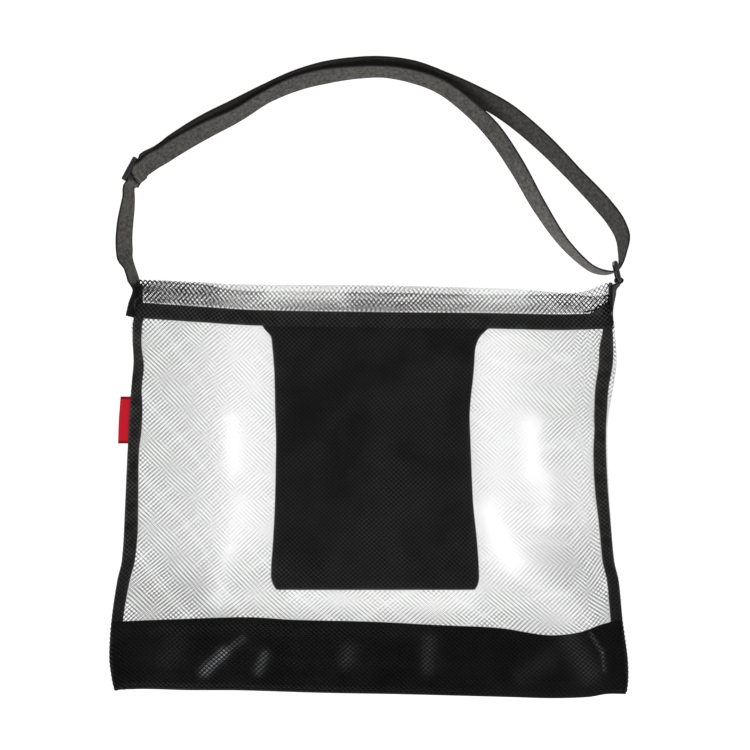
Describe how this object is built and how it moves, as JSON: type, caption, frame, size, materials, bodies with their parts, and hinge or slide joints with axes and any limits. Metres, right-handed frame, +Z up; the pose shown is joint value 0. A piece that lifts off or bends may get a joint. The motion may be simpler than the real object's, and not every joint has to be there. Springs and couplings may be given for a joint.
{
  "type": "mesh beach bag",
  "caption": "Flat mesh shoulder bag with a cloth band along its bottom, an inner pocket, a zip under the hem and a long adjustable webbing strap.",
  "frame": {"origin": "middle of the plan of the bag and its strap, on the surface that the bag lies on", "axes": "+X across the bag to the seen right side, +Y from the bag's bottom seam towards its mouth, +Z up from the surface, out of the seen front"},
  "size_m": [0.5206, 0.6398, 0.0294],
  "materials": {
    "net": "smooth knitted polyester net",
    "gloss_cloth": "coated, slightly glossy",
    "cloth": "matte woven",
    "binding": "matte woven tape",
    "zip_tape": "matte woven tape",
    "zip_plastic": "satin",
    "zip_metal": "satin black",
    "label": "woven, bare",
    "webbing": "matte ribbed webbing",
    "tab_webbing": "matte ribbed webbing",
    "hardware": "satin moulded"
  },
  "bodies": {
    "root": {"net_front": "net", "net_back": "net", "band_front": "gloss_cloth", "band_back": "gloss_cloth", "binding_left": "binding", "binding_right": "binding", "binding_bottom": "binding", "zip_tape_front": "zip_tape", "zip_tape_back": "zip_tape", "zip_coil": "zip_plastic", "zip_slider": "zip_metal", "zip_pull": "zip_metal", "pocket_front": "cloth", "pocket_back": "cloth", "side_label": "label", "shoulder_strap": "webbing", "tri_glide": "hardware", "ring": "hardware", "ring_tab": "tab_webbing"}
  },
  "joints": []
}
